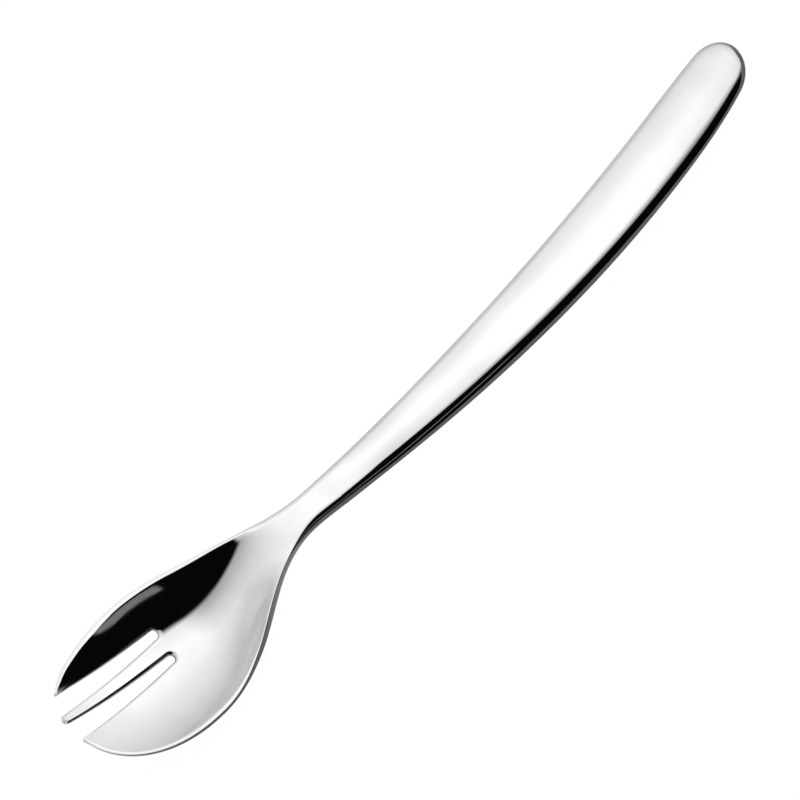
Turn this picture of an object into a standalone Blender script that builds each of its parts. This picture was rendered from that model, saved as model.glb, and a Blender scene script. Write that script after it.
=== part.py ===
"""Adaptive fork: dished, slotted steel head with a tang, and a hollow handle of two half shells.

Metres. +X runs from the handle to the tips, +Y to the user's left, +Z up from the table.
The origin is on the table, under the lowest point of the bowl.
"""
import bpy
import bmesh
import numpy as np

# Bowl
BOWL_WIDTH = 0.0300
BOWL_NOSE = 0.0307
BOWL_WIDEST_X = 0.0095
NOSE_POWER = 2.33
BOWL_BOW_Y = 0.0003
BOWL_BOW_X = 0.0060
BOWL_BOW_START_X = -0.0090
BOWL_BOW_RADIUS = 0.155
RIM_HEIGHT = 0.0072
RIM_CLIMB_X = 0.0050
RIM_CLIMB_POWER = 2.0
RIM_ROUND = 0.0004
SHEET = 0.0016
WALL_POWER = 2.3
DISH_POWER = 2.4
BOWL_REST_SINK = 0.0003

# Tines and slots
TINE_ROOT_WIDTH = 0.0037
TINE_TIP_WIDTH = 0.0019
TINE_ROOT_Y = -0.00385
TINE_TIP_Y = -0.00525
TINE_TIP_X = 0.0306
SLOT_ROOT_WIDTH = 0.0017
SLOT_MOUTH_WIDTH = 0.0043
SLOT_ROOT_X_OUTER = 0.0045
SLOT_ROOT_X_INNER = 0.0057
LOBE_TIP_X_OUTER = 0.0275
LOBE_TIP_X_INNER = 0.0305
LOBE_TIP_ROUND = 0.0005

# Neck and handle
NECK_X = -0.0325
NECK_WIDTH = 0.0070
NECK_THICK = 0.0032
NECK_BLEND = 0.00055
NECK_FORM_LENGTH = 0.0230
NECK_EDGE = 0.00165
HANDLE_END_X = -0.1645
HANDLE_WIDTH = 0.0133
HANDLE_WIDEST_X = -0.1310
HANDLE_END_WIDTH = 0.0101
HANDLE_END_POWER = 3.0
HANDLE_THICK = 0.0055
HANDLE_THICKEST_X = -0.1050
HANDLE_END_THICK = 0.0044
HANDLE_EDGE = 0.0019
HANDLE_EDGE_FULL_X = -0.0480
HANDLE_REST_SINK = 0.0004
END_CAP_LENGTH = 0.0080
END_EDGE_LENGTH = 0.0035
SIDE_START_ANGLE = 0.20
SIDE_WIDTH_SHARE = 0.8
REST_SHARE = 0.7

# Line of the handle
BOW_RADIUS = 0.330
BOW_CREST_Y = 0.0032
ARCH_RADIUS = 0.374
CREST_X = -0.0768
BOW_START_X = -0.0053
BOW_FULL_X = -0.0313

# Joint between head and handle
JOINT_X = -0.0360
JOINT_GAP = 0.0003
SEAM_GAP = 0.0003
SHELL = 0.0008
TANG_CLEARANCE = 0.0003
TANG_LENGTH = 0.0420
TANG_TAPER = 0.35

# Facets
SIDE_FACETS = 6
TOP_FACETS = 9
ACROSS = 2 * SIDE_FACETS + TOP_FACETS
ALONG_BACK = 30
ALONG_FRONT = 14
ALONG_TANG = 8
ALONG_HANDLE = 38
ALONG_CAP = 10
SLOT_ROOT_FACETS = 12
TINE_TIP_FACETS = 9
LOBE_TIP_FACETS = 6
CAP_STOP = 0.97
NOSE_STOP = 0.965


def smooth(t):
    t = min(max(t, 0.0), 1.0)
    return t * t * (3.0 - 2.0 * t)


def half_width(x):
    """Half the plan width of bowl, neck and handle at x."""
    wide = BOWL_WIDTH / 2
    if x >= BOWL_WIDEST_X:
        t = min((x - BOWL_WIDEST_X) / (BOWL_NOSE - BOWL_WIDEST_X), 1.0)
        return wide * (1.0 - t ** NOSE_POWER) ** (1.0 / NOSE_POWER)
    waist = NECK_WIDTH / 2 - NECK_BLEND
    t = min((BOWL_WIDEST_X - x) / (BOWL_WIDEST_X - NECK_X), 1.0)
    bowl = waist + (wide - waist) * 0.5 * (1.0 + np.cos(np.pi * t))
    if x >= HANDLE_WIDEST_X:
        t = (x - HANDLE_WIDEST_X) / (NECK_X - HANDLE_WIDEST_X)
        fall = (HANDLE_WIDTH / 2 - waist) * t ** 2
    else:
        t = (HANDLE_WIDEST_X - x) / (HANDLE_WIDEST_X - HANDLE_END_X)
        fall = (HANDLE_WIDTH / 2 - HANDLE_END_WIDTH / 2) * t ** HANDLE_END_POWER
    handle = HANDLE_WIDTH / 2 - fall
    return 0.5 * (bowl + handle + np.hypot(bowl - handle, 2 * NECK_BLEND))


def half_thick(x):
    """Half the thickness of neck and handle at x."""
    if x >= HANDLE_THICKEST_X:
        t = (x - HANDLE_THICKEST_X) / (NECK_X - HANDLE_THICKEST_X)
        low = NECK_THICK / 2
    else:
        t = (HANDLE_THICKEST_X - x) / (HANDLE_THICKEST_X - HANDLE_END_X)
        low = HANDLE_END_THICK / 2
    return HANDLE_THICK / 2 - (HANDLE_THICK / 2 - low) * t * t


def round_off(distance, length):
    """Elliptical run-out of a size over the last length before an end."""
    t = min(max(1.0 - distance / length, 0.0), 1.0)
    return np.sqrt(1.0 - t * t)


def edge_round(x):
    """Radius of the bar's rounded sides in neck and handle."""
    return NECK_EDGE + (HANDLE_EDGE - NECK_EDGE) * smooth((JOINT_X - x) / (JOINT_X - HANDLE_EDGE_FULL_X))


def spine_y(x):
    """Sideways line of the fork: bowed handle, and a bowl that curves back towards the tines."""
    handle = BOW_CREST_Y - (x - CREST_X) ** 2 / (2 * BOW_RADIUS)
    handle *= smooth((BOW_START_X - x) / (BOW_START_X - BOW_FULL_X))
    rise = BOWL_BOW_Y * smooth((x - BOWL_BOW_START_X) / (BOWL_BOW_X - BOWL_BOW_START_X))
    return handle + rise - max(x - BOWL_BOW_X, 0.0) ** 2 / (2 * BOWL_BOW_RADIUS)


REST_X = HANDLE_END_X + END_EDGE_LENGTH * REST_SHARE
REST_THICK = half_thick(REST_X) * round_off(REST_X - HANDLE_END_X, END_EDGE_LENGTH)
CREST_Z = (REST_X - CREST_X) ** 2 / (2 * ARCH_RADIUS) + REST_THICK - HANDLE_REST_SINK


def spine_z(x):
    """Height of the handle's centre line, set so that the handle's end rests on the table."""
    return CREST_Z - (x - CREST_X) ** 2 / (2 * ARCH_RADIUS)


NECK_TOP = spine_z(NECK_X) + half_thick(NECK_X)
NECK_SLOPE = (NECK_X - CREST_X) / ARCH_RADIUS


def floor_z(x):
    """Height of the bowl's inner face along its middle."""
    low = SHEET - BOWL_REST_SINK
    if x >= 0.0:
        return low + (RIM_HEIGHT - low) * min(x / BOWL_NOSE, 1.0) ** DISH_POWER
    t = min(x / NECK_X, 1.0)
    rise = (NECK_TOP - low) * t * t * (3.0 - 2.0 * t)
    return rise + low + NECK_SLOPE * -NECK_X * (t ** 3 - t ** 2)


def rim_z(x):
    """Height of the rim's upper edge."""
    t = min(max((RIM_CLIMB_X - x) / (RIM_CLIMB_X - NECK_X), 0.0), 1.0)
    return RIM_HEIGHT + (NECK_TOP - RIM_HEIGHT) * t ** RIM_CLIMB_POWER


def bar_run(wide, thick, edge, start):
    """Half a crowned bar section from +Y to -Y, as places across and heights. Its round sides
    begin at the start angle."""
    out = min(edge, SIDE_WIDTH_SHARE * wide)
    up = min(edge, thick)
    turn = np.linspace(start, np.pi / 2, SIDE_FACETS)
    swing = np.linspace(1.0, -1.0, TOP_FACETS + 2)[1:-1]
    side = wide - out + out * np.cos(turn)
    across = np.concatenate([side, (wide - out) * swing, -side[::-1]])
    lift = up * np.concatenate([np.sin(turn), np.ones(TOP_FACETS), np.sin(turn)[::-1]])
    return across, lift + (thick - up) * (1.0 - (across / wide) ** 2)


def bar_section(x, wide, thick, edge):
    """Upper run, lower run and side points of the crowned bar."""
    across, up = bar_run(wide, thick, edge, SIDE_START_ANGLE)
    y = spine_y(x) + across
    z = spine_z(x)
    sides = np.array([(spine_y(x) + wide, z), (spine_y(x) - wide, z)])
    return np.stack([y, z + up], 1), np.stack([y, z - up], 1), sides


def sheet_section(x):
    """Upper run, lower run and side points of the dished sheet."""
    full = half_width(x)
    depth = max(rim_z(x) - floor_z(x), 0.0)
    steep = depth * WALL_POWER / full
    wide = max(full - SHEET * steep / np.hypot(steep, 1.0), full / 2)
    across = np.sin(np.linspace(np.pi / 2, -np.pi / 2, ACROSS))
    y = spine_y(x) + wide * across
    z = floor_z(x) + depth * np.abs(across) ** WALL_POWER
    slope = depth * WALL_POWER / wide * np.abs(across) ** (WALL_POWER - 1) * np.sign(across)
    long = np.hypot(slope, 1.0)
    upper = np.stack([y, z], 1)
    lower = np.stack([y + SHEET * slope / long, z - SHEET / long], 1)
    sides = []
    for end, sign in ((0, 1), (-1, -1)):
        edge = upper[end] - lower[end]
        out = np.array([edge[1], -edge[0]]) * sign / np.hypot(edge[0], edge[1])
        sides.append((upper[end] + lower[end]) / 2 + out * RIM_ROUND)
    return upper, lower, np.array(sides)


def closed_loop(x, upper, lower, sides):
    """Section points all the way round, kept above the table."""
    loop = np.concatenate([upper, sides[1:], lower[::-1], sides[:1]])
    return [(x, y, max(z, 0.0)) for y, z in loop]


def head_loop(x):
    """Closed section of the head: dished sheet in the bowl, crowned bar in the neck."""
    share = smooth((NECK_X + NECK_FORM_LENGTH - x) / NECK_FORM_LENGTH)
    bar = bar_section(x, half_width(x), half_thick(x), edge_round(x))
    sheet = sheet_section(max(x, NECK_X))
    return closed_loop(x, *[(1 - share) * a + share * b for a, b in zip(sheet, bar)])


def tang_loop(x):
    """Closed section of the tang: a clearance inside the shells at the joint, then tapering."""
    share = 1.0 - TANG_TAPER * (JOINT_X - x) / TANG_LENGTH
    inset = SHELL + TANG_CLEARANCE
    wide = (half_width(JOINT_X) - inset) * share
    thick = (half_thick(JOINT_X) - inset) * share
    edge = (edge_round(JOINT_X) - inset) * share
    return closed_loop(x, *bar_section(x, wide, thick, edge))


def finish(name, mesh_data, color):
    """Object with outward faces and its own steel material."""
    bmesh.ops.recalc_face_normals(mesh_data, faces=mesh_data.faces)
    mesh = bpy.data.meshes.new(name)
    mesh_data.to_mesh(mesh)
    mesh_data.free()
    material = bpy.data.materials.new(name + "_steel")
    material.use_nodes = True
    shader = material.node_tree.nodes["Principled BSDF"]
    shader.inputs["Base Color"].default_value = color
    shader.inputs["Metallic"].default_value = 1.0
    shader.inputs["Roughness"].default_value = 0.08
    mesh.materials.append(material)
    return bpy.data.objects.new(name, mesh)


def loft(name, loops, color):
    """Closed body through a row of closed loops of equal count."""
    data = bmesh.new()
    rings = [[data.verts.new(point) for point in loop] for loop in loops]
    count = len(rings[0])
    for near, far in zip(rings, rings[1:]):
        for i in range(count):
            j = (i + 1) % count
            data.faces.new((near[i], near[j], far[j], far[i]))
    data.faces.new(rings[0])
    data.faces.new(rings[-1])
    return finish(name, data, color)


def half_loop(x, inset, end_x, sign):
    """One half of the handle's section, from +Y to -Y, set in from the outer face by inset."""
    wide = (half_width(x) - inset) * round_off(x - end_x, END_CAP_LENGTH)
    thick = (half_thick(x) - inset) * round_off(x - end_x, END_EDGE_LENGTH)
    across, up = bar_run(wide, thick, edge_round(x) - inset, 0.0)
    y = spine_y(x) + across
    z = spine_z(x) + sign * (SEAM_GAP / 2 + (thick - SEAM_GAP / 2) * up / thick)
    if inset == 0.0:
        z = np.maximum(z, 0.0)
    return [(x, b, c) for b, c in zip(y, z)]


def handle_stations(inset):
    """Positions along the handle, closer together towards its rounded end."""
    front = JOINT_X - JOINT_GAP
    end = HANDLE_END_X + inset
    cap = end + END_CAP_LENGTH
    body = np.linspace(front, cap, ALONG_HANDLE, endpoint=False)
    turn = np.linspace(0.0, 1.0, ALONG_CAP) ** 0.5 * CAP_STOP
    tail = cap - END_CAP_LENGTH * np.sin(turn * np.pi / 2)
    return np.concatenate([body, tail]), end


def handle_shell(name, sign, color):
    """Half shell: outer and inner lofts joined along the seam, the front ring and the end."""
    data = bmesh.new()
    grids = []
    for inset in (0.0, SHELL):
        stations, end = handle_stations(inset)
        rows = [half_loop(x, inset, end, sign) for x in stations]
        grids.append([[data.verts.new(point) for point in row] for row in rows])
    for rows in grids:
        for near, far in zip(rows, rows[1:]):
            for i in range(ACROSS - 1):
                data.faces.new((near[i], near[i + 1], far[i + 1], far[i]))
        data.faces.new(rows[-1])
    outer, inner = grids
    for edge in (0, -1):
        for k in range(len(outer) - 1):
            data.faces.new((outer[k][edge], outer[k + 1][edge], inner[k + 1][edge], inner[k][edge]))
    data.faces.new((outer[-1][0], outer[-1][-1], inner[-1][-1], inner[-1][0]))
    for i in range(ACROSS - 1):
        data.faces.new((outer[0][i], outer[0][i + 1], inner[0][i + 1], inner[0][i]))
    return finish(name, data, color)


def corner(x_end, y_end, side):
    """Rounded inner corner of a lobe's tip, ending ahead of the bowl."""
    points = []
    for t in np.linspace(0.0, np.pi / 2, LOBE_TIP_FACETS):
        x = x_end - LOBE_TIP_ROUND * (1 - np.sin(t))
        points.append((x, y_end + side * LOBE_TIP_ROUND * (1 - np.cos(t))))
    return points


def slot_root(x, y):
    """Half circle at a slot's root, from its -Y side to its +Y side."""
    radius = SLOT_ROOT_WIDTH / 2
    turns = np.linspace(-np.pi / 2, -3 * np.pi / 2, SLOT_ROOT_FACETS)
    return [(x + radius + radius * np.cos(t), y + radius * np.sin(t)) for t in turns]


def slot_outline():
    """Plan outline of both slots in one, with the middle tine left standing between them."""
    tip = TINE_TIP_WIDTH / 2
    root = TINE_ROOT_WIDTH / 2 + SLOT_ROOT_WIDTH / 2
    outer_mouth = TINE_TIP_Y - tip - SLOT_MOUTH_WIDTH
    inner_mouth = TINE_TIP_Y + tip + SLOT_MOUTH_WIDTH
    ahead = BOWL_NOSE + SLOT_MOUTH_WIDTH
    points = [(ahead, outer_mouth - LOBE_TIP_ROUND)]
    points += corner(LOBE_TIP_X_OUTER, outer_mouth, -1)[::-1]
    points += slot_root(SLOT_ROOT_X_OUTER, TINE_ROOT_Y - root)
    for t in np.linspace(-np.pi / 2, np.pi / 2, TINE_TIP_FACETS):
        points.append((TINE_TIP_X - tip + tip * np.cos(t), TINE_TIP_Y + tip * np.sin(t)))
    points += slot_root(SLOT_ROOT_X_INNER, TINE_ROOT_Y + root)
    points += corner(LOBE_TIP_X_INNER, inner_mouth, 1)
    points.append((ahead, inner_mouth + LOBE_TIP_ROUND))
    return points


def slot_cutter():
    """Upright prism on the slot outline, tall enough to pass the bowl."""
    curve = bpy.data.curves.new("slot_outline", "CURVE")
    curve.dimensions = "2D"
    curve.fill_mode = "BOTH"
    curve.extrude = RIM_HEIGHT
    points = slot_outline()
    spline = curve.splines.new("POLY")
    spline.points.add(len(points) - 1)
    for slot_point, (x, y) in zip(spline.points, points):
        slot_point.co = (x, y, 0.0, 1.0)
    spline.use_cyclic_u = True
    flat = bpy.data.objects.new("slot_outline", curve)
    mesh = bpy.data.meshes.new_from_object(flat)
    bpy.data.objects.remove(flat)
    data = bmesh.new()
    data.from_mesh(mesh)
    bpy.data.meshes.remove(mesh)
    bmesh.ops.remove_doubles(data, verts=data.verts, dist=0.000001)
    bmesh.ops.translate(data, verts=data.verts, vec=(0.0, 0.0, RIM_HEIGHT / 2))
    return finish("slot_cutter", data, (0.5, 0.2, 0.2, 1.0))


def head_stations():
    """Positions along neck and bowl, closer together towards the tips."""
    back = np.linspace(JOINT_X, BOWL_WIDEST_X, ALONG_BACK, endpoint=False)
    turn = np.linspace(0.0, NOSE_STOP, ALONG_FRONT)
    front = BOWL_WIDEST_X + (BOWL_NOSE - BOWL_WIDEST_X) * np.sin(turn * np.pi / 2)
    return np.concatenate([back, front])


for old in list(bpy.data.objects):
    bpy.data.objects.remove(old)

fork = bpy.data.collections.new("adaptive_fork")
cutters = bpy.data.collections.new("cutters")
bpy.context.scene.collection.children.link(fork)
bpy.context.scene.collection.children.link(cutters)

tang = np.linspace(JOINT_X - TANG_LENGTH, JOINT_X, ALONG_TANG)
head_loops = [tang_loop(x) for x in tang] + [head_loop(x) for x in head_stations()]
head = loft("fork_head", head_loops, (0.80, 0.80, 0.81, 1.0))
fork.objects.link(head)

cutter = slot_cutter()
cutter.hide_render = True
cutter.display_type = "WIRE"
cutters.objects.link(cutter)
slots = head.modifiers.new("slots", "BOOLEAN")
slots.operation = "DIFFERENCE"
slots.solver = "EXACT"
slots.object = cutter

fork.objects.link(handle_shell("handle_upper_shell", 1, (0.82, 0.82, 0.83, 1.0)))
fork.objects.link(handle_shell("handle_lower_shell", -1, (0.78, 0.78, 0.79, 1.0)))
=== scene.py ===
"""Looks of the adaptive fork: mirror-polished skins over the CAD head and handle, in a white studio.

Metres, in the CAD frame: +X to the tips, +Y to the user's left, +Z up from the table.
"""

import bmesh
import bpy
import numpy as np
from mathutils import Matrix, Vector
from mathutils.geometry import delaunay_2d_cdt


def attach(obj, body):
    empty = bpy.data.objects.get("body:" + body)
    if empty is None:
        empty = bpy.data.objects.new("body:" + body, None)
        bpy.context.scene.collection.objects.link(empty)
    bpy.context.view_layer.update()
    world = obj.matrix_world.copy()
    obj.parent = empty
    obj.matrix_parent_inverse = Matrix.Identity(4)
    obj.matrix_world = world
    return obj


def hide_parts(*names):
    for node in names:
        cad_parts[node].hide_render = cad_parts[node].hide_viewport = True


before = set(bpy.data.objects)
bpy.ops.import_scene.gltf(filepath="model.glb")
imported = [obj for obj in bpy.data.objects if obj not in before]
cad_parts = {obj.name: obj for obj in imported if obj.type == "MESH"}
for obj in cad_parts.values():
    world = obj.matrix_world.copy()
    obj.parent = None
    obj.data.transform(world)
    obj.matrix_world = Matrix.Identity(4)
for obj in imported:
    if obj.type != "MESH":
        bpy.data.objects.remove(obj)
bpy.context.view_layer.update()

# Bowl
BOWL_WIDTH = 0.0299
BOWL_NOSE = 0.0306
BOWL_WIDEST_X = 0.0095
NOSE_POWER = 2.25
BOWL_BOW_Y = 0.00045
BOWL_BOW_X = 0.0060
BOWL_BOW_START_X = -0.0090
BOWL_BOW_RADIUS = 0.205
BOWL_RISE_X = -0.0265
BOWL_REST_SINK = 0.0003
RIM_HEIGHT = 0.0072
RIM_CLIMB_X = 0.0050
RIM_CLIMB_POWER = 2.0
WALL_POWER = 2.3
WALL_REACH = 1.2
DISH_POWER = 2.4
SHEET = 0.0016
TIP_THIN = 0.40
TIP_THIN_X = 0.0080

# Section of the rim: an inner arc, a flat land, a sharp corner and a steep side
RIM_LEAN = 0.35
RIM_ACROSS = 0.60
RIM_HELD_X = 0.0
RIM_NECK_X = -0.0303
RIM_NECK_LENGTH = 0.0105
RIM_CORNER = 0.00015
RIM_INNER = 0.0009
RIM_INNER_BACK = 0.0003
RIM_DRAFT = 0.32
RIM_BACK_X = -0.0080
RIM_FRONT_X = 0.0100
LAND_MINUS_Y = 0.00060
LAND_MINUS_Y_START = -0.0220
LAND_PLUS_Y = 0.0003
LAND_PLUS_Y_START = -0.0060
LAND_TIP = 0.0004
LAND_TIP_START = 0.0060
LAND_RISE = 0.0150

# Tines and slots
TINE_ROOT_WIDTH = 0.0037
TINE_TIP_WIDTH = 0.0019
TINE_ROOT_Y = -0.00385
TINE_TIP_Y = -0.00515
TINE_TIP_X = 0.0306
SLOT_ROOT_WIDTH = 0.0017
SLOT_MOUTH_WIDTH = 0.0040
SLOT_ROOT_X_OUTER = 0.0045
SLOT_ROOT_X_INNER = 0.0057
LOBE_TIP_ROUND = 0.00025
LOBE_TIP_EDGE = 0.08
LOBE_TIP_LENGTH = 0.0030
LOBE_SPREAD = 0.0008
LOBE_SPREAD_X = 0.0190

# Neck and handle
NECK_X = -0.0325
NECK_WIDTH = 0.0070
NECK_THICK = 0.0032
NECK_BLEND = 0.00055
NECK_FORM_LENGTH = 0.0230
NECK_EDGE = 0.00165
HANDLE_END_X = -0.1645
HANDLE_WIDTH = 0.0133
HANDLE_WIDEST_X = -0.1310
HANDLE_END_WIDTH = 0.0101
HANDLE_END_POWER = 3.0
HANDLE_THICK = 0.0055
HANDLE_THICKEST_X = -0.1050
HANDLE_END_THICK = 0.0044
HANDLE_REST_SINK = 0.0004
HANDLE_EDGE = 0.0016
HANDLE_EDGE_FULL_X = -0.0480
HANDLE_EDGE_SHARE = 0.8
HANDLE_CROWN = 0.238
HANDLE_END_CROWN = 0.285
END_CAP_LENGTH = 0.0080
END_CAP_POWER = 2.25
END_CAP_STOP = 0.03
END_EDGE_LENGTH = 0.0035
REST_SHARE = 0.7
JOINT_X = -0.0360
JOINT_FADE = 0.0040

# Line of the handle
BOW_RADIUS = 0.330
BOW_CREST_Y = 0.0032
ARCH_RADIUS = 0.374
CREST_X = -0.0768
BOW_START_X = -0.0040
BOW_FULL_X = -0.0313

# Steel
STEEL_DARK = (0.608, 0.604, 0.599, 1.0)
STEEL_LIGHT = (0.661, 0.657, 0.651, 1.0)
# Painted shade: the base colour is darkened over the bowl's hollow, ahead of the neck
BOWL_SHADE_TONE = 0.945
BOWL_SHADE_START_X = -0.0215
BOWL_SHADE_FULL_X = -0.0165
ROUGH_LOW = 0.035
ROUGH_HIGH = 0.075
NOISE_LOW = 0.3
NOISE_HIGH = 0.7
LINES_DETAIL = 4.0
HEAD_LINES = (250.0, 1400.0, 1400.0)
HANDLE_LINES = (120.0, 1800.0, 1800.0)
LINES_SHIFT = (1.0, 0.7, 0.3)
CLOUD_SCALE = 90.0
CLOUD_DETAIL = 2.0
BUMP_STRENGTH = 0.02
BUMP_DISTANCE = 0.0001

# Mesh fineness
EDGE_STEP = 0.00018
EDGE_INSET = 0.0001
INNER_RINGS = 5
CORNER_RINGS = 8
LOWER_RINGS = 6
INNER_STEP = 0.0006
INNER_CLEAR = 0.5
MERGE_DISTANCE = 1e-9
BACK_POINTS = 300
FRONT_POINTS = 400
STRAIGHT_POINTS = 200
ROUND_POINTS = 40
FILLET_POINTS = 12
CLOSING_POINTS = 9
HANDLE_STEPS = 150
END_STEPS = 30
SIDE_STEPS = 12
TOP_STEPS = 30
SLOPE_STEP = 0.00002
LEAST_WIDTH = 1e-6
TINY = 1e-12

# Camera
CAMERA_AT = Vector((0.2518, 0.2746, 0.80558))
CAMERA_AIM = Vector((-0.05929, -0.00305, 0.008))
CAMERA_LENS = 215.0
SENSOR_WIDTH = 36.0
CLIP_START = 0.01
CLIP_END = 20.0

# Studio floor
FLOOR_SIZE = 6.0
FLOOR_DROP = 0.00005
FLOOR_TONE = 0.95
# Painted shade: where the steel mirrors the paper, its colour falls to this grey towards the tent's
# dark side
FLOOR_SHADE_TONE = 0.20
# Painted light: strength of a faint glow on the paper where the steel mirrors it
FLOOR_PAINTED_GLOW = 0.05
FLOOR_SHADE_SIDE = (-0.15, 1.0, 0.0)
FLOOR_SHADE_START = -0.002
FLOOR_SHADE_END = 0.020
FLOOR_GLOW = 1.04
FLOOR_GLOW_SHARE = 0.94

# Studio tent: the light of each feature, and where on the sphere of directions it starts and is full
WHITE = (1.0, 1.0, 1.0, 1.0)
TENT_LEVEL = 0.73
TENT_RISE = 0.79
TENT_LIGHT = (-0.360, -0.086, 0.929)
TENT_LOW = -0.5
TENT_GLOW = 0.13
TENT_GLOW_START = 0.80
TENT_GLOW_FULL = 0.96
WINDOW_LEVEL = 0.45
WINDOW_SIDE = (0.703, -0.662, -0.259)
WINDOW_START = 0.65
WINDOW_FULL = 0.95
CAMERA_SHADE = 0.42
CAMERA_SHADE_ANGLE = 0.80
DARK_LEVEL = 0.003
DARK_SIDE = (-0.05, 0.98, 0.0)
DARK_START = 0.200
DARK_FULL = 0.355
PANEL_LEVEL = 0.27
PANEL_TILT = (-0.444, 0.416, -0.793)
PANEL_FOOT = (-0.005, 0.02)
PANEL_HEAD = (0.075, 0.095)
PANEL_NEAR = (0.908, 0.419, 0.0)
PANEL_FAR = (-0.989, 0.144, 0.0)
PANEL_SOFT = 0.05


def unit(v):
    """Vectors of length 1."""
    return v / np.maximum(np.linalg.norm(v, axis=-1, keepdims=True), TINY)


def smooth(t):
    """Smooth step from 0 to 1, held beyond them."""
    t = np.clip(t, 0.0, 1.0)
    return t * t * (3.0 - 2.0 * t)


def front_width(t):
    """Half width of the bowl ahead of its widest section, t from 0 there to 1 at the nose."""
    t = np.clip(t, 0.0, 1.0)
    return BOWL_WIDTH / 2 * (1.0 - t ** NOSE_POWER) ** (1.0 / NOSE_POWER)


def half_width(x):
    """Half the plan width of bowl, neck and handle."""
    waist = NECK_WIDTH / 2 - NECK_BLEND
    t = np.clip((BOWL_WIDEST_X - x) / (BOWL_WIDEST_X - NECK_X), 0.0, 1.0)
    bowl = waist + (BOWL_WIDTH / 2 - waist) * 0.5 * (1.0 + np.cos(np.pi * t))
    to_neck = (x - HANDLE_WIDEST_X) / (NECK_X - HANDLE_WIDEST_X)
    to_end = (HANDLE_WIDEST_X - x) / (HANDLE_WIDEST_X - HANDLE_END_X)
    wide = HANDLE_WIDTH / 2
    neck_side = wide - (wide - waist) * to_neck ** 2
    end_side = wide - (wide - HANDLE_END_WIDTH / 2) * np.clip(to_end, 0.0, None) ** HANDLE_END_POWER
    handle = np.where(x >= HANDLE_WIDEST_X, neck_side, end_side)
    back = 0.5 * (bowl + handle + np.hypot(bowl - handle, 2 * NECK_BLEND))
    front = front_width((x - BOWL_WIDEST_X) / (BOWL_NOSE - BOWL_WIDEST_X))
    return np.where(x >= BOWL_WIDEST_X, front, back)


def half_thick(x):
    """Half the thickness of neck and handle."""
    to_neck = (x - HANDLE_THICKEST_X) / (NECK_X - HANDLE_THICKEST_X)
    to_end = (HANDLE_THICKEST_X - x) / (HANDLE_THICKEST_X - HANDLE_END_X)
    thick = HANDLE_THICK / 2
    neck_side = thick - (thick - NECK_THICK / 2) * to_neck ** 2
    end_side = thick - (thick - HANDLE_END_THICK / 2) * to_end ** 2
    return np.where(x >= HANDLE_THICKEST_X, neck_side, end_side)


def round_off(distance, length, power=2.0):
    """Run-out of a size over the last length before an end, elliptical or fuller."""
    t = np.clip(1.0 - distance / length, 0.0, 1.0)
    return (1.0 - t ** power) ** (1.0 / power)


def spine_y(x):
    """Sideways line of the fork: bowed handle, and a bowl that curves back towards the tines."""
    handle = BOW_CREST_Y - (x - CREST_X) ** 2 / (2 * BOW_RADIUS)
    handle = handle * smooth((BOW_START_X - x) / (BOW_START_X - BOW_FULL_X))
    rise = BOWL_BOW_Y * smooth((x - BOWL_BOW_START_X) / (BOWL_BOW_X - BOWL_BOW_START_X))
    ahead = np.clip(x - BOWL_BOW_X, 0.0, None)
    return handle + rise - ahead ** 2 / (2 * BOWL_BOW_RADIUS)


REST_X = HANDLE_END_X + END_EDGE_LENGTH * REST_SHARE
REST_THICK = half_thick(REST_X) * round_off(REST_X - HANDLE_END_X, END_EDGE_LENGTH)
CREST_Z = (REST_X - CREST_X) ** 2 / (2 * ARCH_RADIUS) + REST_THICK - HANDLE_REST_SINK


def spine_z(x):
    """Height of the handle's centre line."""
    return CREST_Z - (x - CREST_X) ** 2 / (2 * ARCH_RADIUS)


NECK_TOP = spine_z(NECK_X) + half_thick(NECK_X)
RISE_TOP = spine_z(BOWL_RISE_X) + half_thick(BOWL_RISE_X)
RISE_SLOPE = (BOWL_RISE_X - CREST_X) / ARCH_RADIUS


def floor_z(x):
    """Height of the bowl's inner face along its middle."""
    low = SHEET - BOWL_REST_SINK
    front = low + (RIM_HEIGHT - low) * np.clip(x / BOWL_NOSE, 0.0, 1.0) ** DISH_POWER
    t = np.clip(x / BOWL_RISE_X, 0.0, 1.0)
    back = low + (RISE_TOP - low) * smooth(t) - RISE_SLOPE * BOWL_RISE_X * (t ** 3 - t ** 2)
    neck = spine_z(x) + half_thick(x)
    return np.where(x >= 0.0, front, np.where(x >= BOWL_RISE_X, back, neck))


def rim_z(x):
    """Height of the rim's upper edge."""
    t = np.clip((RIM_CLIMB_X - x) / (RIM_CLIMB_X - NECK_X), 0.0, 1.0)
    return RIM_HEIGHT + (NECK_TOP - RIM_HEIGHT) * t ** RIM_CLIMB_POWER


def neck_share(x):
    """0 where the head is a dished sheet, 1 where it is a solid bar."""
    return smooth((NECK_X + NECK_FORM_LENGTH - x) / NECK_FORM_LENGTH)


def edge_round(x):
    """Radius of the rounded edge: half the sheet in the bowl, less at the tips, more at the neck."""
    share = smooth((RIM_CLIMB_X - x) / (RIM_CLIMB_X - NECK_X))
    thin = 1.0 - TIP_THIN * smooth((x - TIP_THIN_X) / (BOWL_NOSE - TIP_THIN_X))
    return SHEET / 2 * thin * (1 - share) + NECK_EDGE * share


def rim_lean(x):
    """Cosine of the wall's slope at the rim."""
    steep = np.maximum(rim_z(x) - floor_z(x), 0.0) * WALL_POWER / np.maximum(half_width(x), SHEET)
    return 1.0 / np.hypot(steep, 1.0)


def mid_width(x):
    """Half width of the sheet's middle face, so that its rounded edge reaches the outline."""
    lost = edge_round(x) * (1.0 - rim_lean(x)) * (1.0 - neck_share(x))
    return np.maximum(half_width(x) - lost, 0.0)


def across(x, y):
    """Place across the width, -1 to 1."""
    return (y - spine_y(x)) / np.maximum(mid_width(x), LEAST_WIDTH)


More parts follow.
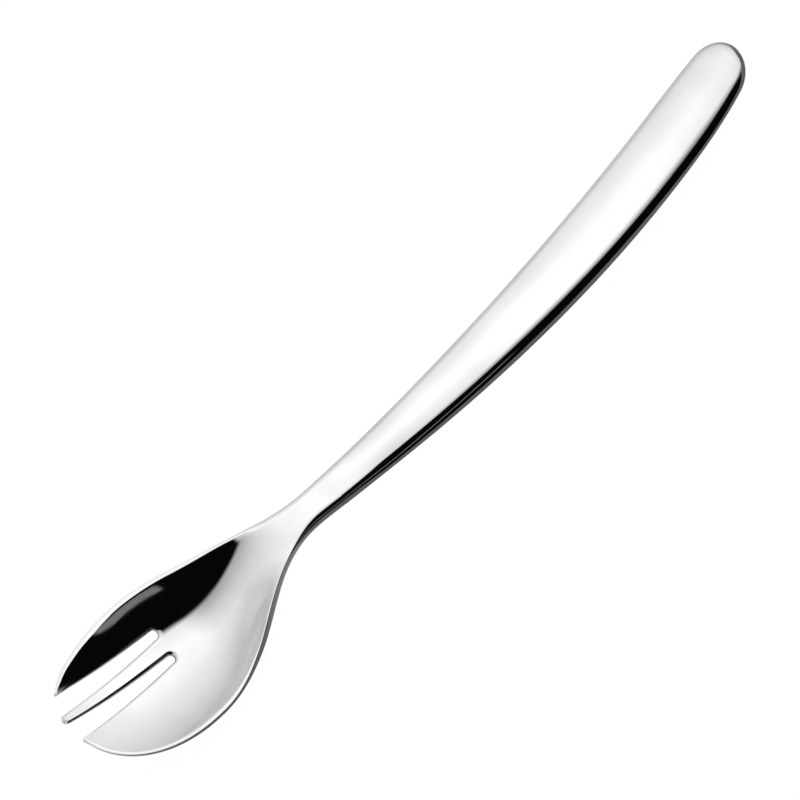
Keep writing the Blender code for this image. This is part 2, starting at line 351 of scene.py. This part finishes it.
def mid_z(x, y):
    """Height of the sheet's middle face."""
    low = floor_z(x) - edge_round(x)
    rim = rim_z(x) - edge_round(x) * rim_lean(x)
    wall = np.clip(np.abs(across(x, y)), 0.0, WALL_REACH) ** WALL_POWER
    bowl = low + np.maximum(rim - low, 0.0) * wall
    share = neck_share(x)
    return bowl * (1 - share) + spine_z(x) * share


def mid_slopes(x, y):
    """Slopes of the middle face along X and Y, by small steps."""
    e = SLOPE_STEP
    along = (mid_z(x + e, y) - mid_z(x - e, y)) / (2 * e)
    sideways = (mid_z(x, y + e) - mid_z(x, y - e)) / (2 * e)
    return along, sideways


def sheet_up(x, y):
    """Way that the sheet's thickness runs."""
    along, sideways = mid_slopes(x, y)
    return unit(np.stack([-along * (1 - neck_share(x)), -sideways, np.ones_like(x)], -1))


def sheet_points(x, y):
    """Upper and lower points of the head."""
    up = sheet_up(x, y)
    crown = np.maximum(half_thick(x) - edge_round(x), 0.0) * (1.0 - across(x, y) ** 2)
    thick = edge_round(x) + neck_share(x) * crown
    middle = np.stack([x, y, mid_z(x, y)], -1)
    upper = middle + up * thick[..., None]
    lower = middle - up * thick[..., None]
    lower[..., 2] = np.maximum(lower[..., 2], 0.0)
    return upper, lower


def face_normals(x, y):
    """Normals of the head's upper and lower faces away from the edges, by small steps."""
    e = SLOPE_STEP * 2
    ahead = sheet_points(x + e, y)
    behind = sheet_points(x - e, y)
    left = sheet_points(x, y + e)
    right = sheet_points(x, y - e)
    upper = unit(np.cross(ahead[0] - behind[0], left[0] - right[0]))
    lower = unit(np.cross(left[1] - right[1], ahead[1] - behind[1]))
    return upper, lower


def edge_profile(x, y, outward, lean):
    """Rings of the edge's section, each as its offsets out and up and the way it faces, from 0 for up.
    Slots and neck have a round edge, and the rim has a flat land and a steep side."""
    radius = edge_round(x)
    minus_y = smooth(0.5 - outward[:, 1])
    rim = np.maximum(smooth(lean / RIM_LEAN), np.where(x < RIM_HELD_X, 1 - minus_y, 0.0))
    rim *= smooth((np.abs(across(x, y)) - RIM_ACROSS) / (1.0 - RIM_ACROSS))
    out_of_neck = smooth((x - RIM_NECK_X) / RIM_NECK_LENGTH)
    rim *= minus_y * (1.0 - neck_share(x)) + (1 - minus_y) * out_of_neck
    scale = np.minimum(radius / (SHEET / 2), 1.0)
    back = smooth((RIM_FRONT_X - x) / (RIM_FRONT_X - RIM_BACK_X))
    land_minus_y = LAND_MINUS_Y * smooth((x - LAND_MINUS_Y_START) / LAND_RISE)
    land_minus_y += LAND_TIP * smooth((x - LAND_TIP_START) / LAND_RISE)
    land_plus_y = LAND_PLUS_Y * smooth((x - LAND_PLUS_Y_START) / LAND_RISE)
    land = rim * (minus_y * land_minus_y + (1 - minus_y) * land_plus_y)
    inner = radius + rim * (scale * (RIM_INNER + (RIM_INNER_BACK - RIM_INNER) * back) - radius)
    corner = radius + rim * (scale * RIM_CORNER - radius)
    side = np.pi / 2 - RIM_DRAFT * rim * back
    top = (1.0 - rim) * (side - lean) / 2
    reach = radius - inner - (radius - corner) * np.cos(side + lean)
    reach -= (corner - inner) * np.cos(top + lean) + land * np.sin(top + lean)
    rise = reach / np.sin(side + lean)
    corner_out = (radius - corner) * np.sin(side) - rise * np.cos(side)
    corner_up = (radius - corner) * np.cos(side) + rise * np.sin(side)
    inner_out = corner_out + (corner - inner) * np.sin(top) - land * np.cos(top)
    inner_up = corner_up + (corner - inner) * np.cos(top) + land * np.sin(top)
    zero = np.zeros_like(x)
    arcs = (
        (inner_out, inner_up, inner, -lean, top, INNER_RINGS),
        (corner_out, corner_up, corner, top, side, CORNER_RINGS),
        (zero, zero, radius, side, np.pi - lean, LOWER_RINGS),
    )
    rings = []
    for out, up, size, start, end, count in arcs:
        for k in range(1, count + 1):
            facing = start + (end - start) * k / count
            rings.append((out + size * np.sin(facing), up + size * np.cos(facing), facing))
    return rings[:-1]


def fillet(first, second, corner, reach):
    """Joins two rows of points that meet at a corner by a rounded turn."""
    first = first[np.linalg.norm(first - corner, axis=1) > reach]
    second = second[np.linalg.norm(second - corner, axis=1) > reach]
    t = np.linspace(0.0, 1.0, FILLET_POINTS)[:, None]
    turn = (1 - t) ** 2 * first[-1] + 2 * t * (1 - t) * corner + t ** 2 * second[0]
    return np.concatenate([first[:-1], turn, second[1:]])


def outline_side(side):
    """One side of the plan outline of the middle face, from the joint to the nose. The -Y side spreads
    towards its lobe's tip."""
    back = np.linspace(JOINT_X, BOWL_WIDEST_X, BACK_POINTS, endpoint=False)
    turn = np.sin(np.linspace(0.0, np.pi / 2, FRONT_POINTS))
    x = np.concatenate([back, BOWL_WIDEST_X + (BOWL_NOSE - BOWL_WIDEST_X) * turn])
    to_nose = smooth((x - LOBE_SPREAD_X) / (BOWL_NOSE - LOBE_SPREAD_X))
    spread = LOBE_SPREAD * to_nose if side < 0 else 0.0
    return np.stack([x, spine_y(x) + side * (mid_width(x) + spread)], 1)


def straight(start, end):
    """Even row of points on a straight line."""
    t = np.linspace(0.0, 1.0, STRAIGHT_POINTS)[:, None]
    return np.asarray(start) * (1 - t) + np.asarray(end) * t


def slot_root(x, y, side):
    """Half circle at a slot's root, entered from the given side."""
    radius = SLOT_ROOT_WIDTH / 2
    turn = np.linspace(0.0, np.pi, ROUND_POINTS)
    return np.stack([x + radius - radius * np.sin(turn), y + side * radius * np.cos(turn)], 1)


def cut_at(row, edge):
    """The row up to where it crosses the straight edge, and the crossing."""
    t = (row[:, 0] - edge[0][0]) / (edge[1][0] - edge[0][0])
    gap = row[:, 1] - (edge[0][1] + t * (edge[1][1] - edge[0][1]))
    ahead = row[:, 0] > BOWL_WIDEST_X
    index = int(np.argmax(ahead & (np.sign(gap) != np.sign(gap[ahead][0]))))
    return row[:index], row[index]


def head_outline():
    """Plan outline of the head from the joint's +Y side round the tips to its -Y side, and the
    corners of its two lobes."""
    tip = TINE_TIP_WIDTH / 2
    root = TINE_ROOT_WIDTH / 2 + SLOT_ROOT_WIDTH / 2
    half_slot = SLOT_ROOT_WIDTH / 2
    rows = []
    corners = []
    for side, root_x in ((1, SLOT_ROOT_X_INNER), (-1, SLOT_ROOT_X_OUTER)):
        root_y = TINE_ROOT_Y + side * root
        mouth_y = TINE_TIP_Y + side * (tip + SLOT_MOUTH_WIDTH)
        near = (root_x + half_slot, root_y + side * half_slot)
        far = (TINE_TIP_X, mouth_y)
        rim, corner = cut_at(outline_side(side), (near, far))
        lobe = fillet(rim, straight(corner, near), corner, LOBE_TIP_ROUND)
        corners.append(corner)
        tine_near = (root_x + half_slot, root_y - side * half_slot)
        tine_far = (TINE_TIP_X - tip, TINE_TIP_Y + side * tip)
        tine = straight(tine_near, tine_far)
        rows.append(np.concatenate([lobe[:-1], slot_root(root_x, root_y, side)[:-1], tine]))
    turn = np.linspace(0.0, np.pi, ROUND_POINTS)[1:-1]
    end = np.stack([TINE_TIP_X - tip + tip * np.sin(turn), TINE_TIP_Y + tip * np.cos(turn)], 1)
    return np.concatenate([rows[0], end, rows[1][::-1]]), corners


def resample(row, step):
    """The row at even steps along its length."""
    length = np.concatenate([[0.0], np.cumsum(np.linalg.norm(np.diff(row, axis=0), axis=1))])
    at = np.linspace(0.0, length[-1], int(length[-1] / step) + 1)
    return np.stack([np.interp(at, length, row[:, 0]), np.interp(at, length, row[:, 1])], 1)


def inside(points, loop):
    """Which points lie inside the closed loop."""
    x, y = points[:, 0, None], points[:, 1, None]
    a, b = loop, np.roll(loop, -1, axis=0)
    spans = (a[:, 1] > y) != (b[:, 1] > y)
    rise = np.where(b[:, 1] == a[:, 1], TINY, b[:, 1] - a[:, 1])
    meets = a[:, 0] + (y - a[:, 1]) / rise * (b[:, 0] - a[:, 0])
    return (np.sum(spans & (x < meets), axis=1) % 2) == 1


def skin_object(name, points, faces, normals):
    """Smooth mesh object whose shading follows the given normals."""
    data = bmesh.new()
    verts = [data.verts.new(p) for p in points]
    for face in faces:
        data.faces.new([verts[i] for i in face]).smooth = True
    bmesh.ops.recalc_face_normals(data, faces=data.faces)
    mesh = bpy.data.meshes.new(name)
    data.to_mesh(mesh)
    data.free()
    mesh.normals_split_custom_set_from_vertices([tuple(n) for n in normals])
    piece = bpy.data.objects.new(name, mesh)
    bpy.context.scene.collection.objects.link(piece)
    return piece


def edge_rings(outline, corners):
    """Rings of points over the rounded edge from the upper to the lower face, the way across each of
    them, and the plan of the first, where the upper face ends."""
    tangent = unit(np.gradient(outline, axis=0))
    inward = np.stack([tangent[:, 1], -tangent[:, 0]], 1)
    inward[:, 0] *= smooth((outline[:, 0] - JOINT_X) / JOINT_FADE)
    inward = unit(inward)
    narrow = np.ones(len(outline))
    for corner in corners:
        away = np.hypot(outline[:, 0] - corner[0], outline[:, 1] - corner[1])
        narrow *= np.clip(away / LOBE_TIP_LENGTH, LOBE_TIP_EDGE, 1.0)
    inset = outline + inward * EDGE_INSET
    slope_x, slope_y = mid_slopes(inset[:, 0], inset[:, 1])
    climb = -slope_x * inward[:, 0] - slope_y * inward[:, 1]
    lean = np.arctan(climb)
    depth = edge_round(outline[:, 0]) * narrow / np.hypot(1.0, climb)
    border = outline + inward * depth[:, None]
    x, y = border[:, 0], border[:, 1]
    upper, lower = sheet_points(x, y)
    middle = np.stack([x, y, mid_z(x, y)], 1)
    up = sheet_up(x, y)
    outward = unit(np.concatenate([-inward, climb[:, None]], 1))
    level = outward * np.cos(lean)[:, None] - up * np.sin(lean)[:, None]
    plumb = outward * np.sin(lean)[:, None] + up * np.cos(lean)[:, None]
    rings, ways = [upper], [level]
    for out, rise, facing in edge_profile(outline[:, 0], outline[:, 1], -inward, lean):
        ring = middle + level * (out * narrow)[:, None] + plumb * rise[:, None]
        ring[:, 2] = np.maximum(ring[:, 2], 0.0)
        rings.append(ring)
        ways.append(level * np.cos(facing)[:, None] - plumb * np.sin(facing)[:, None])
    return np.array(rings + [lower]), np.array(ways + [-level]), border


def inner_points(border):
    """Plan points of the faces inside the border: the row that closes it at the joint, and with that
    row an even grid."""
    close_y = np.linspace(border[-1, 1], border[0, 1], CLOSING_POINTS)[1:-1]
    closing = np.stack([np.full(len(close_y), JOINT_X), close_y], 1)
    loop = np.concatenate([border, closing])
    xs = np.arange(JOINT_X + INNER_STEP, BOWL_NOSE, INNER_STEP)
    ys = np.arange(-BOWL_WIDTH / 2, BOWL_WIDTH / 2, INNER_STEP)
    grid = np.stack(np.meshgrid(xs, ys, indexing="ij"), -1).reshape(-1, 2)
    grid = grid[inside(grid, loop)]
    clear = np.array([np.min(np.hypot(loop[:, 0] - p[0], loop[:, 1] - p[1])) for p in grid])
    return closing, np.concatenate([closing, grid[clear > INNER_STEP * INNER_CLEAR]])


def fill(points, loop_length):
    """Triangles that fill the closed loop of the first points, by way of the others."""
    flat = [Vector(p) for p in points]
    edges = [(i, (i + 1) % loop_length) for i in range(loop_length)]
    found = delaunay_2d_cdt(flat, edges, [], 1, MERGE_DISTANCE)
    source = [refs[0] for refs in found[3]]
    return [[source[i] for i in face] for face in found[2]]


def strip_faces(rows, count):
    """Faces between neighbouring rows of points."""
    faces = []
    for k in range(rows - 1):
        for i in range(count - 1):
            a = k * count + i
            faces.append((a, a + 1, a + count + 1, a + count))
    return faces


def head_skin():
    """Dished, slotted sheet with rounded edges, running into the solid neck."""
    outline, corners = head_outline()
    rings, ways, border = edge_rings(resample(outline, EDGE_STEP), corners)
    closing, inner = inner_points(border)
    triangles = fill(np.concatenate([border, inner]), len(border) + len(closing))

    upper, lower = sheet_points(inner[:, 0], inner[:, 1])
    upper_normal, lower_normal = face_normals(inner[:, 0], inner[:, 1])
    points = np.concatenate([rings.reshape(-1, 3), upper, lower])
    ring_normals = unit(np.cross(np.gradient(rings, axis=1), ways))
    ring_normals[0], ring_normals[-1] = face_normals(border[:, 0], border[:, 1])
    if np.sum(ring_normals[1] * ring_normals[0]) < 0:
        ring_normals[1:-1] *= -1
    normals = np.concatenate([ring_normals.reshape(-1, 3), upper_normal, lower_normal])

    rows, count = rings.shape[:2]
    upper_start = rows * count
    lower_start = upper_start + len(inner)
    lower_ring = (rows - 1) * count
    faces = strip_faces(rows, count)
    for tri in triangles:
        faces.append([i if i < count else upper_start + i - count for i in tri])
        faces.append([lower_ring + i if i < count else lower_start + i - count for i in tri])
    joint = [k * count for k in range(rows)]
    joint += [lower_start + i for i in reversed(range(len(closing)))]
    joint += [k * count + count - 1 for k in reversed(range(rows))]
    joint += [upper_start + i for i in range(len(closing))]
    faces.append(joint)
    return skin_object("fork_head_skin", points, faces, normals)


def handle_sections():
    """Closed rings of points along the handle, each from the +Y side over the top and back below."""
    cap = HANDLE_END_X + END_CAP_LENGTH
    body = np.linspace(JOINT_X, cap, HANDLE_STEPS, endpoint=False)
    turn = np.linspace(np.pi / 2, END_CAP_STOP, END_STEPS)
    x = np.concatenate([body, HANDLE_END_X + END_CAP_LENGTH * (1 - np.cos(turn))])
    to_tip = x - HANDLE_END_X
    wide = half_width(x) * round_off(to_tip, END_CAP_LENGTH, END_CAP_POWER)
    thin = round_off(to_tip, END_EDGE_LENGTH)
    full = smooth((JOINT_X - x) / (JOINT_X - HANDLE_EDGE_FULL_X))
    edge = NECK_EDGE + (HANDLE_EDGE - NECK_EDGE) * full
    edge_out = np.minimum(edge, wide * HANDLE_EDGE_SHARE)
    to_end = smooth((HANDLE_THICKEST_X - x) / (HANDLE_THICKEST_X - cap))
    share = HANDLE_CROWN + (HANDLE_END_CROWN - HANDLE_CROWN) * to_end
    crown = (half_thick(x) - NECK_EDGE) * (1 - full) + share * half_width(x) * full
    edge_up = (half_thick(x) - crown) * thin
    crown = crown * thin
    turn = np.linspace(0.0, np.pi / 2, SIDE_STEPS, endpoint=False)
    swing = np.sin(np.linspace(-np.pi / 2, np.pi / 2, TOP_STEPS))
    flat = (wide - edge_out)[:, None]
    out = edge_out[:, None]
    y_side = flat + out * np.cos(turn)
    y_top = -flat * swing
    y = np.concatenate([y_side, y_top, -y_side[:, ::-1]], 1)
    lift_side = edge_up[:, None] * np.sin(turn)
    lift_top = np.repeat(edge_up[:, None], TOP_STEPS, 1)
    lift = np.concatenate([lift_side, lift_top, lift_side[:, ::-1]], 1)
    z = lift + crown[:, None] * (1.0 - (y / wide[:, None]) ** 2)
    y_ring = np.concatenate([y, y[:, -2:0:-1]], 1) + spine_y(x)[:, None]
    z_ring = np.concatenate([z, -z[:, -2:0:-1]], 1) + spine_z(x)[:, None]
    x_ring = np.repeat(x[:, None], y_ring.shape[1], 1)
    return np.stack([x_ring, y_ring, np.maximum(z_ring, 0.0)], -1)


def handle_skin(name, rings, normals, columns):
    """One half of the handle: its outer face, the flat seam face, the joint face and the end."""
    part = rings[:, columns]
    steps, count = part.shape[:2]
    faces = strip_faces(steps, count)
    for k in range(steps - 1):
        a, b = k * count, (k + 1) * count
        faces.append((a, b, b + count - 1, a + count - 1))
    faces.append(list(range(count)))
    faces.append([(steps - 1) * count + i for i in range(count)])
    return skin_object(name, part.reshape(-1, 3), faces, normals[:, columns].reshape(-1, 3))


def handle_skins():
    """Upper and lower half of the handle."""
    rings = handle_sections()
    wrapped = np.concatenate([rings[:, -1:], rings, rings[:, :1]], 1)
    around = np.gradient(wrapped, axis=1)[:, 1:-1]
    along = np.gradient(rings, axis=0)
    normals = unit(np.cross(around, along))
    middle = rings.mean(axis=1, keepdims=True)
    if np.sum(normals * (rings - middle)) < 0:
        normals = -normals
    half = rings.shape[1] // 2
    upper = handle_skin("handle_upper_skin", rings, normals, np.arange(half + 1))
    lower_columns = np.concatenate([np.arange(half, rings.shape[1]), [0]])
    lower = handle_skin("handle_lower_skin", rings, normals, lower_columns)
    return upper, lower


def node(tree, kind, **values):
    """New node with the given settings."""
    made = tree.nodes.new(kind)
    for key, value in values.items():
        setattr(made, key, value)
    return made


def ramp(tree, value, start, end, at_start, at_end, kind="SMOOTHSTEP"):
    """Value from start to end, turned into at_start to at_end and held beyond them."""
    made = node(tree, "ShaderNodeMapRange", interpolation_type=kind)
    made.inputs["From Min"].default_value = start
    made.inputs["From Max"].default_value = end
    made.inputs["To Min"].default_value = at_start
    made.inputs["To Max"].default_value = at_end
    tree.links.new(value, made.inputs["Value"])
    return made.outputs["Result"]


def dot(tree, vector, direction):
    """How far the vector points along the direction."""
    made = node(tree, "ShaderNodeVectorMath", operation="DOT_PRODUCT")
    made.inputs[1].default_value = direction
    tree.links.new(vector, made.inputs[0])
    return made.outputs["Value"]


def combine(tree, operation, first, second):
    """Two values joined by a sum or a product."""
    made = node(tree, "ShaderNodeMath", operation=operation)
    tree.links.new(first, made.inputs[0])
    tree.links.new(second, made.inputs[1])
    return made.outputs["Value"]


def between(tree, share, first, second):
    """First where the share is 0, second where it is 1."""
    made = node(tree, "ShaderNodeMix", data_type="FLOAT")
    tree.links.new(share, made.inputs["Factor"])
    tree.links.new(first, made.inputs["A"])
    tree.links.new(second, made.inputs["B"])
    return made.outputs["Result"]


def noise(tree, vector, scale, detail):
    """Value of a noise texture."""
    made = node(tree, "ShaderNodeTexNoise")
    made.inputs["Scale"].default_value = scale
    made.inputs["Detail"].default_value = detail
    tree.links.new(vector, made.inputs["Vector"])
    return made.outputs["Fac"]


def for_camera(tree, mirrored, seen, output):
    """Gives the output one shader for what the camera sees and another for what the steel mirrors."""
    rays = node(tree, "ShaderNodeLightPath")
    pick = node(tree, "ShaderNodeMixShader")
    tree.links.new(rays.outputs["Is Camera Ray"], pick.inputs["Fac"])
    tree.links.new(mirrored, pick.inputs[1])
    tree.links.new(seen, pick.inputs[2])
    tree.links.new(pick.outputs["Shader"], tree.nodes[output].inputs["Surface"])


def polished_steel(name, stretch, seed):
    """Mirror-polished stainless steel with faint polishing lines and a slow change of tone. Over the
    bowl the base colour is darkened slightly as painted shade."""
    material = bpy.data.materials.new(name)
    material.use_nodes = True
    tree = material.node_tree
    link = tree.links.new
    shader = tree.nodes["Principled BSDF"]
    shader.inputs["Metallic"].default_value = 1.0
    place = node(tree, "ShaderNodeTexCoord").outputs["Object"]
    lines_map = node(tree, "ShaderNodeMapping")
    lines_map.inputs["Scale"].default_value = stretch
    lines_map.inputs["Location"].default_value = tuple(seed * shift for shift in LINES_SHIFT)
    link(place, lines_map.inputs["Vector"])
    lines = noise(tree, lines_map.outputs["Vector"], 1.0, LINES_DETAIL)
    rough = ramp(tree, lines, NOISE_LOW, NOISE_HIGH, ROUGH_LOW, ROUGH_HIGH, "LINEAR")
    link(rough, shader.inputs["Roughness"])
    tone = node(tree, "ShaderNodeValToRGB")
    dark, light = tone.color_ramp.elements
    dark.position = NOISE_LOW
    dark.color = STEEL_DARK
    light.position = NOISE_HIGH
    light.color = STEEL_LIGHT
    link(noise(tree, place, CLOUD_SCALE, CLOUD_DETAIL), tone.inputs["Fac"])
    span = node(tree, "ShaderNodeSeparateXYZ")
    link(place, span.inputs["Vector"])
    # Painted shade: the base colour darkens over the bowl's hollow, ahead of the neck
    bowl_shade = ramp(tree, span.outputs["X"], BOWL_SHADE_START_X, BOWL_SHADE_FULL_X, 1.0, BOWL_SHADE_TONE)
    shaded_base = node(tree, "ShaderNodeVectorMath", operation="SCALE")
    link(tone.outputs["Color"], shaded_base.inputs[0])
    link(bowl_shade, shaded_base.inputs["Scale"])
    link(shaded_base.outputs["Vector"], shader.inputs["Base Color"])
    bump = node(tree, "ShaderNodeBump")
    bump.inputs["Strength"].default_value = BUMP_STRENGTH
    bump.inputs["Distance"].default_value = BUMP_DISTANCE
    link(lines, bump.inputs["Height"])
    link(bump.outputs["Normal"], shader.inputs["Normal"])
    return material


def studio_world():
    """White backdrop for the camera. The steel mirrors a tent that brightens upwards, with a window and
    the camera's soft shade in it, and its dark open side with a grey panel standing low in it."""
    world = bpy.data.worlds.new("studio")
    world.use_nodes = True
    bpy.context.scene.world = world
    tree = world.node_tree
    link = tree.links.new
    ray = node(tree, "ShaderNodeTexCoord").outputs["Generated"]
    above = dot(tree, ray, TENT_LIGHT)
    unlit = TENT_LEVEL + TENT_RISE * TENT_LOW
    sky = ramp(tree, above, TENT_LOW, 1.0, unlit, TENT_LEVEL + TENT_RISE, "LINEAR")
    glow = ramp(tree, above, TENT_GLOW_START, TENT_GLOW_FULL, 0.0, TENT_GLOW)
    window = ramp(tree, dot(tree, ray, WINDOW_SIDE), WINDOW_START, WINDOW_FULL, 0.0, WINDOW_LEVEL)
    sky = combine(tree, "ADD", combine(tree, "ADD", sky, glow), window)
    off_camera = node(tree, "ShaderNodeMath", operation="ARCCOSINE")
    link(dot(tree, ray, CAMERA_AT.normalized()), off_camera.inputs[0])
    angle = off_camera.outputs["Value"]
    shade = ramp(tree, angle, 0.0, CAMERA_SHADE_ANGLE, CAMERA_SHADE, 1.0, "LINEAR")
    tilt = dot(tree, ray, PANEL_TILT)
    foot = ramp(tree, tilt, *PANEL_FOOT, 0.0, 1.0)
    height = combine(tree, "MULTIPLY", foot, ramp(tree, tilt, *PANEL_HEAD, 1.0, 0.0))
    near = ramp(tree, dot(tree, ray, PANEL_NEAR), 0.0, PANEL_SOFT, 0.0, 1.0)
    far = ramp(tree, dot(tree, ray, PANEL_FAR), 0.0, PANEL_SOFT, 0.0, 1.0)
    board = combine(tree, "MULTIPLY", height, combine(tree, "MULTIPLY", near, far))
    panel = ramp(tree, board, 0.0, 1.0, DARK_LEVEL, PANEL_LEVEL, "LINEAR")
    dark = ramp(tree, dot(tree, ray, DARK_SIDE), DARK_START, DARK_FULL, 0.0, 1.0)
    tent = tree.nodes["Background"]
    tent.inputs["Color"].default_value = WHITE
    link(between(tree, dark, combine(tree, "MULTIPLY", sky, shade), panel), tent.inputs["Strength"])
    backdrop = node(tree, "ShaderNodeBackground")
    backdrop.inputs["Color"].default_value = WHITE
    for_camera(tree, tent.outputs["Background"], backdrop.outputs["Background"], "World Output")


def studio_floor():
    """Paper that the camera sees as white with the fork's soft shadow. Where the steel mirrors it, its
    colour falls off to grey as painted shade on the dark side of the tent, and it glows faintly as
    painted light."""
    mesh = bpy.data.meshes.new("floor")
    s = FLOOR_SIZE / 2
    mesh.from_pydata([(-s, -s, 0), (s, -s, 0), (s, s, 0), (-s, s, 0)], [], [(0, 1, 2, 3)])
    floor = bpy.data.objects.new("floor", mesh)
    floor.location.z = -FLOOR_DROP
    bpy.context.scene.collection.objects.link(floor)
    material = bpy.data.materials.new("floor_paper")
    material.use_nodes = True
    tree = material.node_tree
    link = tree.links.new
    tree.nodes.remove(tree.nodes["Principled BSDF"])
    # Painted shade: the paper's colour falls to grey towards the tent's dark side, for what the steel
    # mirrors
    side = dot(tree, node(tree, "ShaderNodeTexCoord").outputs["Object"], FLOOR_SHADE_SIDE)
    tone = ramp(tree, side, FLOOR_SHADE_START, FLOOR_SHADE_END, FLOOR_TONE, FLOOR_SHADE_TONE)
    diffuse = node(tree, "ShaderNodeBsdfDiffuse")
    link(tone, diffuse.inputs["Color"])
    # Painted light: a faint glow on the paper where the steel mirrors it, stronger where the paper is
    # lighter
    painted_glow = node(tree, "ShaderNodeEmission")
    link(ramp(tree, tone, 0.0, 1.0, 0.0, FLOOR_PAINTED_GLOW, "LINEAR"), painted_glow.inputs["Strength"])
    mirrored = node(tree, "ShaderNodeAddShader")
    link(diffuse.outputs["BSDF"], mirrored.inputs[0])
    link(painted_glow.outputs["Emission"], mirrored.inputs[1])
    paper = node(tree, "ShaderNodeBsdfDiffuse")
    paper.inputs["Color"].default_value = (FLOOR_TONE, FLOOR_TONE, FLOOR_TONE, 1.0)
    glow = node(tree, "ShaderNodeEmission")
    glow.inputs["Strength"].default_value = FLOOR_GLOW
    seen = node(tree, "ShaderNodeMixShader")
    seen.inputs["Fac"].default_value = FLOOR_GLOW_SHARE
    link(paper.outputs["BSDF"], seen.inputs[1])
    link(glow.outputs["Emission"], seen.inputs[2])
    for_camera(tree, mirrored.outputs["Shader"], seen.outputs["Shader"], "Material Output")
    mesh.materials.append(material)


def camera():
    """Camera of the photograph."""
    data = bpy.data.cameras.new("camera")
    data.lens = CAMERA_LENS
    data.sensor_width = SENSOR_WIDTH
    data.clip_start = CLIP_START
    data.clip_end = CLIP_END
    view = bpy.data.objects.new("camera", data)
    view.location = CAMERA_AT
    view.rotation_euler = (CAMERA_AIM - CAMERA_AT).to_track_quat("-Z", "Y").to_euler()
    bpy.context.scene.collection.objects.link(view)
    bpy.context.scene.camera = view


head = head_skin()
handle_upper, handle_lower = handle_skins()
for piece, cad_node, slot, stretch, seed in (
    (head, "fork_head", "head_steel", HEAD_LINES, 1.0),
    (handle_upper, "handle_upper_shell", "upper_shell_steel", HANDLE_LINES, 2.0),
    (handle_lower, "handle_lower_shell", "lower_shell_steel", HANDLE_LINES, 3.0),
):
    piece.data.materials.append(polished_steel(slot, stretch, seed))
    piece.visible_glossy = False
    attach(piece, "root")
    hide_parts(cad_node)

studio_world()
studio_floor()
camera()
bpy.context.scene.view_settings.view_transform = "Standard"
